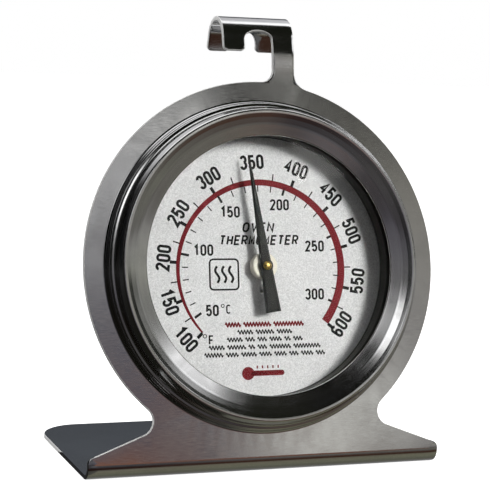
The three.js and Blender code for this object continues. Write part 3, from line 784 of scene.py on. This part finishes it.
def add_stand(material):
    tab_rows = [TAB_BOW_START + z for z in spaced(HOOK_BEND_Z - TAB_BOW_START, 16)[:-1]]
    hook_rows = [HOOK_BEND_Z + z for z in spaced(HOOK_BEND_END - HOOK_BEND_Z, 28)]
    foot_rows = [FOOT_BEND_Z + z for z in spaced(FOOT_BEND_END - FOOT_BEND_Z, 20)]
    outline = split_at_rows(stand_outline(), tab_rows + hook_rows + foot_rows)
    hole = circle(0, 0, HOLE_R, 240, -1)
    near = inset(outline, 0.3)
    fine, coarse = 0.4, 3.0
    inner = [(fine * i, z) for z in tab_rows + hook_rows for i in range(-19, 20)
             if is_inside(near, fine * i, z)]
    inner += [(coarse * i, z) for z in foot_rows for i in range(-12, 13)]
    points, faces, uvs = sheet([outline, hole], [edge(SHEET), collar_rim()], fold, inner)
    make_piece("stand_sheet", points, faces, material, ["stand_frame"], uvs, 50)


# ---- the capsule ----

CROWN_R = 31.5
CROWN_Y = -5.8
OPENING_R = 26.35
OPENING_Y = -4.4
SKIRT_R = 32.2
CRIMP_R = 29.9
CRIMP_Y = 3.5
BEAD_Y = -2.05
GLASS_R = 30.6
WINDOW_R = 26.6
PACK_R = 30.9
DIAL_R = 30.9


def add_bezel(material):
    inner = SKIRT_R - 0.7
    profile = rounded([
        (OPENING_R, OPENING_Y, 0.25), (OPENING_R + 0.15, OPENING_Y + 0.55, 0.2),
        (CROWN_R - 1.0, CROWN_Y + 0.95, 0.3), (inner, CROWN_Y + 1.4, 0.4),
        (inner, CRIMP_Y, 0.1), (CRIMP_R, CRIMP_Y, 0.1), (CRIMP_R, CRIMP_Y + 0.6, 0.2),
        (SKIRT_R, CRIMP_Y + 0.6, 0.5), (SKIRT_R, BEAD_Y + 0.35, 0.15),
        (SKIRT_R + 1.1, BEAD_Y + 0.35, 0.3), (SKIRT_R + 1.1, BEAD_Y - 0.45, 0.35),
        (SKIRT_R + 0.3, BEAD_Y - 0.6, 0.3), (SKIRT_R, CROWN_Y + 1.1, 0.6),
        (CROWN_R + 0.05, CROWN_Y, 0.7), (CROWN_R - 0.7, CROWN_Y + 0.09, 0.5),
        (CROWN_R - 1.45, CROWN_Y + 0.40, 1.5), (CROWN_R - 2.7, CROWN_Y + 0.83, 6.0),
    ], 6)
    turned("bezel_shell", profile, material, ["bezel_ring"], 288)


def add_glass(material):
    low, high = extent("lens_glass")
    profile = rounded([
        (0, low.y), (GLASS_R, low.y, 0.2), (GLASS_R, high.y, 0.1), (0, high.y),
    ], 3, closed=False)
    turned("window_glass", profile, material, ["lens_glass"], 128, closed=False)


def add_spacer(material):
    low, high = extent("spacer_ring")
    profile = rounded([
        (WINDOW_R, low.y, 0.3), (PACK_R, low.y), (PACK_R, high.y), (WINDOW_R, high.y, 0.15),
        (WINDOW_R, high.y - 0.5, 0.1), (WINDOW_R + 0.12, high.y - 0.7, 0.1),
    ], 3)
    turned("spacer_sleeve", profile, material, ["spacer_ring"], 192)


def add_retaining_band(material):
    low, high = extent("retaining_ring")
    inner, outer = SKIRT_R + 0.3, high.x
    profile = rounded([
        (inner, low.y, 0.1), (outer, low.y, 0.15), (outer, high.y, 0.2), (inner, high.y, 0.15),
    ], 4)
    turned("retaining_band", profile, material, ["retaining_ring"], 192)


def flat_at(front):
    return lambda x, z, depth: (x, front + depth, z)


def add_dial(material):
    low, high = extent("dial_plate")
    thickness = high.y - low.y
    loops = [circle(0, 0, DIAL_R, 160), circle(0, 0, 1.9, 48, -1), circle(0, -5.1, 0.4, 24, -1)]
    rims = [edge(thickness, 0.05, 0.05, 2)] * 3
    points, faces, uvs = sheet(loops, rims, flat_at(low.y))
    make_piece("dial_disc", points, faces, material, ["dial_plate"], uvs)


def add_case(material):
    low, high = extent("case_cup")
    wall = 0.6
    radius, flange = 29.6, PACK_R
    bottom = high.y - wall
    curve = 1.8
    vents = [circle(22 * math.cos(a), 22 * math.sin(a), 1.6, 40, -1)
             for a in [math.radians(30 + 60 * k) for k in range(6)]]
    rivets = [circle(x, z, 1.2, 32, -1) for x, z in ((-19.5, 0), (19.5, 0), (3, -15.5))]
    holes = [*vents, *rivets, circle(0, 0, 2.0, 40, -1)]
    depth = low.y - bottom
    inside = [(curve + wall - (curve - wall) * math.sin(a), -(curve - wall) * (1 - math.cos(a)))
              for a in spaced(math.pi / 2, 5)]
    mouth = [(wall, depth + 0.2), (wall - 0.2, depth), (radius - flange + 0.15, depth),
             (radius - flange, depth + 0.15), (radius - flange, depth + wall - 0.15),
             (radius - flange + 0.15, depth + wall), (-0.2, depth + wall), (0, depth + wall + 0.2)]
    outside = [(curve - curve * math.cos(a), wall - curve + curve * math.sin(a))
               for a in spaced(math.pi / 2, 6)]
    rims = [inside + mouth + outside] + [edge(wall, 0.08, 0.12, 2)] * len(holes)
    loops = [circle(0, 0, radius, 192), *holes]
    points, faces, uvs = sheet(loops, rims, flat_at(bottom))
    make_piece("case_shell", points, faces, material, ["case_cup"], uvs, 35)


# ---- the printed dial ----

PRINT_CENTRE = (0.07, -0.56)
PRINT_THICK = 0.03
TICK_R = 19.9
INNER_TICK_R = 16.0
BAND_R = 18.55
# Where the printed scale stands: degrees Fahrenheit and the angle clockwise from straight up.
SCALE = [(100, -134.0), (250, -60.8), (325, -18.3), (450, 49.8), (600, 128.7)]
NUMBERED = 50
# Height, width, pen width and gap of the figures and words.
OUTER_FIGURES = (3.05, 1.62, 0.56, 0.20)
INNER_FIGURES = (2.35, 1.28, 0.42, 0.20)


def scale_angle(fahrenheit):
    for (f0, a0), (f1, a1) in zip(SCALE, SCALE[1:]):
        if fahrenheit <= f1 or f1 == SCALE[-1][0]:
            return a0 + (a1 - a0) * (fahrenheit - f0) / (f1 - f0)


def from_celsius(celsius):
    return 1.8 * celsius + 32


class Ink:
    """One colour of print on the dial: closed prisms as thin as a coat of ink."""

    def __init__(self, name):
        self.name, self.points, self.faces = name, [], []
        self.front = extent("dial_plate")[0].y - PRINT_THICK

    def band(self, left, right, closed=False):
        """A band between two lines of points, in the print's own x and z."""
        start, count = len(self.points), len(left)
        for y in (self.front, self.front + PRINT_THICK):
            for side in (left, right):
                self.points += [(x + PRINT_CENTRE[0], y, z + PRINT_CENTRE[1]) for x, z in side]
        for i in range(count if closed else count - 1):
            j = (i + 1) % count
            a, b, c, d = (start + k * count for k in range(4))
            self.faces += [(a + i, a + j, b + j, b + i), (c + i, d + i, d + j, c + j),
                           (a + i, c + i, c + j, a + j), (b + i, b + j, d + j, d + i)]
        if not closed:
            for i in (0, count - 1):
                a, b, c, d = (start + k * count + i for k in range(4))
                self.faces.append((a, b, d, c))

    def line(self, points, width, closed=False):
        """A pen line of one width."""
        loop = points if closed else [mirror(points[0], points[1]), *points,
                                      mirror(points[-1], points[-2])]
        left, right = inset(loop, width / 2), inset(loop, -width / 2)
        if not closed:
            left, right = left[1:-1], right[1:-1]
        self.band(left, right, closed)

    def finish(self, material, slot):
        make_piece(self.name, self.points, self.faces, material, (), sharp=30)


def mirror(centre, point):
    return (2 * centre[0] - point[0], 2 * centre[1] - point[1])


def polar(radius, angle):
    a = math.radians(angle)
    return (radius * math.sin(a), radius * math.cos(a))


# The letters made of straight pen lines, in a box 1 by 1.
STRAIGHT = {
    "1": [[(0.1, 0.8), (0.62, 1), (0.62, 0)]],
    "4": [[(0.72, 0), (0.72, 1), (0, 0.3), (1, 0.3)]],
    "V": [[(0, 1), (0.5, 0), (1, 1)]],
    "E": [[(1, 1), (0, 1), (0, 0), (1, 0)], [(0, 0.5), (0.9, 0.5)]],
    "F": [[(1, 1), (0, 1), (0, 0)], [(0, 0.5), (0.85, 0.5)]],
    "N": [[(0, 0), (0, 1), (1, 0), (1, 1)]],
    "T": [[(0, 1), (1, 1)], [(0.5, 1), (0.5, 0)]],
    "H": [[(0, 0), (0, 1)], [(1, 0), (1, 1)], [(0, 0.5), (1, 0.5)]],
    "M": [[(0, 0), (0, 1), (0.5, 0.25), (1, 1), (1, 0)]],
}


def glyph(letter, w, h):
    """The pen lines of a letter or digit in a box w by h, as (points, is closed)."""
    if letter in STRAIGHT:
        return [([(x * w, z * h) for x, z in line], False) for line in STRAIGHT[letter]]
    r = w / 2
    if letter in "0O":
        return [(ellipse(r, h - r, r, r, 0, 180) + ellipse(r, r, r, r, 180, 360), True)]
    if letter == "2":
        top = ellipse(r, h - r, r, r, 175, -30)
        return [(top + [(0.02 * w, 0), (w, 0)], False)]
    if letter == "3":
        top = ellipse(r, 0.75 * h, 0.94 * r, 0.25 * h, 165, -80)
        return [(top, False), (ellipse(r, 0.27 * h, r, 0.27 * h, 75, -165), False)]
    if letter == "5":
        low = ellipse(r, 0.31 * h, r, 0.31 * h, 140, -160)
        return [([(0.95 * w, h), (0.08 * w, h), (0.02 * w, 0.50 * h)] + low, False)]
    if letter == "6":
        bowl = ellipse(r, 0.29 * h, r, 0.29 * h, 180, -180)[:-1]
        back = ellipse(r, h - r, r, r, 25, 180) + [(0, 0.29 * h)]
        return [(bowl, True), (back, False)]
    if letter == "C":
        return [(ellipse(r, h - r, r, r, 35, 180) + ellipse(r, r, r, r, 180, 325), False)]
    if letter == "R":
        bowl = ellipse(w - 0.27 * h, 0.73 * h, 0.27 * h, 0.27 * h, 90, -90)
        return [([(0, 0), (0, h)] + bowl + [(0, 0.46 * h)], False),
                ([(0.5 * w, 0.46 * h), (w, 0)], False)]
    raise ValueError(letter)


def write(ink, text, centre, height, width, weight, gap, angle=0.0, slant=0.0):
    """Letters of one height and width about a centre, turned clockwise by angle."""
    pen_w, pen_h = width - weight, height - weight
    stride = width + gap
    total = stride * len(text) - gap
    a = math.radians(angle)
    for index, letter in enumerate(text):
        left = index * stride - total / 2 + weight / 2
        for points, closed in glyph(letter, pen_w, pen_h):
            placed = []
            for u, v in points:
                v -= pen_h / 2
                u += left + slant * v
                placed.append((centre[0] + u * math.cos(a) + v * math.sin(a),
                               centre[1] - u * math.sin(a) + v * math.cos(a)))
            ink.line(placed, weight, closed)


def degree_sign(ink, centre, radius, weight):
    ink.line(circle(*centre, radius, 24), weight, True)


def add_ticks(black):
    """A tick for each 25 degF outside and 10 degC inside, heavier where a number stands."""
    overlap = 0.1
    for value in range(100, 601, 25):
        angle = scale_angle(value)
        weight = 0.66 if value % NUMBERED == 0 else 0.26
        black.line([polar(TICK_R, angle), polar(BAND_R - overlap, angle)], weight)
    for value in range(50, 301, 10):
        angle = scale_angle(from_celsius(value))
        reach, weight = (1.7, 0.5) if value % NUMBERED == 0 else (1.3, 0.24)
        black.line([polar(INNER_TICK_R + reach, angle), polar(INNER_TICK_R, angle)], weight)


def add_red_band(red):
    """The coloured arc inside the outer ticks, widening towards the hot end."""
    low, high = scale_angle(100), scale_angle(600)
    narrow, widening, power = 0.35, 1.4, 0.65
    outer, inner = [], []
    for share in spaced(1, 120):
        angle = low + (high - low) * share
        outer.append(polar(BAND_R, angle))
        inner.append(polar(BAND_R - narrow - widening * share ** power, angle))
    red.band(outer, inner)


def add_numerals(black):
    radii = [21.8, 21.1, 21.3, 21.2, 21.8, 22.15, 22.4, 22.3, 21.9, 21.6, 21.0]
    angles = [-129.8, -107.7, -83.3, -56.9, -30.7, -4.1, 21.8, 45.5, 69.0, 97.2, 123.7]
    for index, (radius, angle) in enumerate(zip(radii, angles)):
        value = 100 + NUMBERED * index
        turn = angle + 180 if value in (100, 150, 550, 600) else angle
        write(black, str(value), polar(radius, angle), *OUTER_FIGURES, turn)
    centres = [(-11.0, -8.3), (-12.6, 4.0), (-6.6, 11.8), (4.3, 13.3), (11.9, 4.7), (11.6, -5.3)]
    for index, centre in enumerate(centres):
        write(black, str(50 + NUMBERED * index), centre, *INNER_FIGURES)
    degree_sign(black, (-8.75, -7.4), 0.32, 0.16)
    write(black, "C", (-7.5, -8.1), 1.9, 1.05, 0.3, 0.2)
    degree_sign(black, (-12.75, -13.5), 0.36, 0.17)
    write(black, "F", (-11.4, -14.3), 2.0, 1.1, 0.34, 0.2)


def add_heat_sign(black):
    """A rounded square with three rising waves."""
    x, z, half, round_r = -8.25, -1.0, 3.1, 0.9
    corners = [(x + half * i, z + half * j, round_r) for i, j in ((1, -1), (1, 1), (-1, 1), (-1, -1))]
    black.line(rounded(corners), 0.36, True)
    for column in (-1.5, 0, 1.5):
        wave = [(x + column + 0.42 * math.sin(math.pi * i / 8), z - 1.7 + 3.4 * i / 16)
                for i in range(17)]
        black.line(wave, 0.5)


def add_rule_lines(black, red):
    """Wavy strokes that stand for lines of small print, one wave for each letter of a word."""
    stride, rise = 0.66, 0.36
    lines = [
        (red, -11.3, 0.32, (5, 9, 10)),
        (black, -12.85, 0.24, (5, 6, 5)),
        (black, -14.35, 0.24, (5, 3, 3, 4, 2, 3)),
        (black, -15.9, 0.24, (5, 6, 2, 3, 7, 9)),
        (black, -17.4, 0.24, (6, 4, 5, 4, 4, 3, 4, 3)),
    ]
    for ink, z, weight, words in lines:
        total = stride * (sum(words) + len(words) - 1)
        x = 0.3 - total / 2
        for count in words:
            steps = 8 * count
            wave = [(x + stride * i / 8, z + rise * math.sin(math.pi * i / 4)) for i in range(steps + 1)]
            ink.line(wave, weight)
            x += stride * (count + 1)


def add_bulb_sign(red):
    """A small thermometer lying flat: a bulb with a rounded stem and degree marks above it."""
    x, z, bulb, stem, length = -3.6, -21.3, 1.35, 0.55, 7.4
    side = math.degrees(math.asin(stem / bulb))
    outline = arc(x, z, bulb, side, 360 - side, 8) + arc(x + length, z, stem, -90, 90, 12)
    centre = [(x + 0.5 * (px - x), z) for px, _ in outline]
    red.band(outline, centre, True)
    for k in range(5):
        mark = x + 2.0 + 1.15 * k
        red.line([(mark, z + 0.95), (mark, z + 1.55)], 0.3)


def build_dial_print(black_ink, red_ink):
    black, red = Ink("dial_print_black"), Ink("dial_print_red")
    add_ticks(black)
    add_numerals(black)
    add_red_band(red)
    add_heat_sign(black)
    add_rule_lines(black, red)
    add_bulb_sign(red)
    write(black, "OVEN", (-0.5, 8.65), 2.1, 1.5, 0.42, 0.30, slant=0.2)
    write(black, "THERMOMETER", (-0.4, 6.0), 2.1, 1.34, 0.40, 0.26, slant=0.2)
    black.finish(black_ink, "print_black")
    red.finish(red_ink, "print_red")


# ---- the pointer ----

POINTER_TIP = 22.5
POINTER_TAIL = 9.6
POINTER_ANGLE = 8
HUB_R = 1.5


def add_pointer(material):
    """A pressed hand with a raised middle, as a loft of sections along its length."""
    low, high = extent("pointer")
    back, front = high.y, low.y
    # Sections lie close together at the tail's end and round the hub.
    stations = [-POINTER_TAIL, -POINTER_TAIL + 0.12, -POINTER_TAIL + 0.3]
    stations += [-9 + 0.5 * i for i in range(14)]
    stations += [-2 + 0.1 * i for i in range(41)]
    stations += [2.5 + 0.8 * i for i in range(25)] + [POINTER_TIP]
    turn = math.radians(POINTER_ANGLE)
    tip_half, widening, shelf_share = 0.16, 1.5, 0.45
    shelf = back + (front - back) * shelf_share
    points, rows = [], []
    for z in stations:
        half = tip_half + widening * (POINTER_TIP - z) / (POINTER_TIP + POINTER_TAIL)
        if abs(z) < HUB_R:
            half = max(half, math.sqrt(HUB_R ** 2 - z * z))
        from_end = min(z + POINTER_TAIL, POINTER_TIP - z)
        rise = min(1.0, 0.25 + from_end / 0.3)
        crest = shelf + (front - shelf) * rise
        lip = min(0.22, 0.4 * half)
        ring = [(-half, back), (-half, shelf + 0.03), (-half + 0.04, shelf), (-half + lip, shelf),
                (-half + lip + 0.12 * half, crest), (half - lip - 0.12 * half, crest),
                (half - lip, shelf), (half - 0.04, shelf), (half, shelf + 0.03), (half, back)]
        rows.append([len(points) + k for k in range(len(ring))])
        for x, y in ring:
            points.append((x * math.cos(turn) - z * math.sin(turn), y,
                           x * math.sin(turn) + z * math.cos(turn)))
    make_piece("pointer_hand", points, loft(rows), material, ["pointer"], sharp=30,
               body="pointer_shaft")


def add_cap(material):
    low, high = extent("pointer_cap")
    back, front = high.y, low.y
    profile = [(0, front), (0.3, front + 0.01), (0.6, front + 0.07), (0.8, front + 0.2),
               (0.88, front + 0.3), (0.88, back), (0, back)]
    turned("pointer_dot", profile, material, ["pointer_cap"], 64, closed=False,
           body="pointer_shaft")


def add_bush(material):
    low, high = extent("front_bush")
    bore, neck, radius = 0.78, 1.5, 2.7
    profile = rounded([
        (bore, low.y, 0.1), (radius, low.y, 0.35), (radius, 1.5, 0.1), (neck, 1.5, 0.05),
        (neck, high.y, 0.15), (bore, high.y, 0.1),
    ], 5)
    turned("bush_disc", profile, material, ["front_bush"], 96)


def add_coil(material):
    """The bimetal spiral with a smooth strip."""
    low, high = extent("bimetal_coil")
    inner_r, pitch, strip, turns, steps = 2.6, 1.25, 0.4, 6.3, 64
    count = round(turns * steps)
    points, rows = [], []
    for i in range(count + 1):
        a = math.radians(60 - 360 * i / steps)
        r = inner_r + pitch * i / steps
        ring = [(r, low.y), (r + strip, low.y), (r + strip, high.y), (r, high.y)]
        rows.append([len(points) + k for k in range(4)])
        points += [(q * math.cos(a), y, q * math.sin(a)) for q, y in ring]
    make_piece("coil_strip", points, loft(rows), material, ["bimetal_coil"], sharp=30)


def finish_cad_nodes(names, material, width):
    """Small inner pieces keep their CAD shapes, with rounded edges and a finish of their own."""
    for name in names:
        piece = frame["nodes"][name]
        piece.data.materials.clear()
        piece.data.materials.append(material)
        bevel = piece.modifiers.new("edges", "BEVEL")
        bevel.width = width * MM
        bevel.segments = 2
        bevel.limit_method = "ANGLE"
        bevel.angle_limit = math.radians(40)
        bevel.use_clamp_overlap = True


# ---- the whole ----

bpy.context.scene.view_settings.view_transform = "Standard"

add_camera()
add_studio()
add_floor()
add_area_light("key_light", (0.30, -0.53, 0.30), (0, 0, 0.04), 0.14, 3.1, (1, 0.99, 0.97))
add_area_light("left_light", (-0.70, 0.45, 0.15), (0, 0, 0.05), 0.5, 8.0)
add_area_light("top_light", (0.0, 0.30, 1.20), (0, 0.05, 0.0), 1.2, 7.0)

steel = brushed_steel("steel_brushed", (0.52, 0.52, 0.53), (0.66, 0.66, 0.66))
bezel_steel = spun_steel("steel_spun", (0.60, 0.60, 0.60), (0.72, 0.72, 0.71))
case_steel = spun_steel("steel_case", (0.42, 0.42, 0.42), (0.55, 0.55, 0.54), 0.34, anisotropic=0.4)
# Painted shade: the spacer's satin grey steel gets a near-black colour that stands in for the shade
# inside the dial's recess.
recess_shade_steel = grained("steel_dark", (0.020, 0.020, 0.018), (0.035, 0.035, 0.032), 0.5,
                     metallic=0.6, scale=1.5, relief=1.0)
enamel = grained("dial_enamel", (0.52, 0.52, 0.53), (0.90, 0.90, 0.91), 0.45, scale=4.2, relief=2.5)
hand_black = grained("hand_black", (0.005, 0.006, 0.005), (0.010, 0.011, 0.010), 0.34,
                     scale=2.0, relief=0.2, shine=0.2)
cream = grained("bush_cream", (0.80, 0.76, 0.64), (0.88, 0.85, 0.76), 0.4, scale=2.0, relief=1.5)
brass = grained("brass_turned", (0.55, 0.36, 0.10), (0.72, 0.50, 0.17), 0.28, metallic=1.0, relief=1.0)
bimetal = brushed_steel("bimetal_strip", (0.40, 0.36, 0.30), (0.52, 0.47, 0.40), 0.35)
fibre = grained("gasket_fibre", (0.05, 0.048, 0.045), (0.09, 0.085, 0.08), 0.9, scale=6.0, relief=8.0)
black_ink = grained("ink_black", (0.006, 0.006, 0.006), (0.014, 0.014, 0.014), 0.5,
                    scale=6.0, relief=0.5, shine=0.1)
red_ink = grained("ink_red", (0.125, 0.008, 0.012), (0.165, 0.012, 0.016), 0.5,
                  scale=6.0, relief=0.5, shine=0.1)
glass = clear_glass("window_clear")

add_stand(steel)
add_bezel(bezel_steel)
add_glass(glass)
add_spacer(recess_shade_steel)
add_retaining_band(steel)
add_dial(enamel)
add_case(case_steel)
build_dial_print(black_ink, red_ink)
add_pointer(hand_black)
add_cap(brass)
add_bush(cream)
add_coil(bimetal)
finish_cad_nodes(["lens_gasket"], fibre, 0.08)
finish_cad_nodes(["bridge_bracket"], case_steel, 0.08)
finish_cad_nodes(["coil_anchor"], case_steel, 0.06)
finish_cad_nodes(["bridge_rivet_left", "bridge_rivet_right", "coil_anchor_rivet", "rear_bush",
                  "coil_collet"], brass, 0.08)
finish_cad_nodes(["coil_end_pin"], brass, 0.05)
finish_cad_nodes(["spindle"], brass, 0.04)
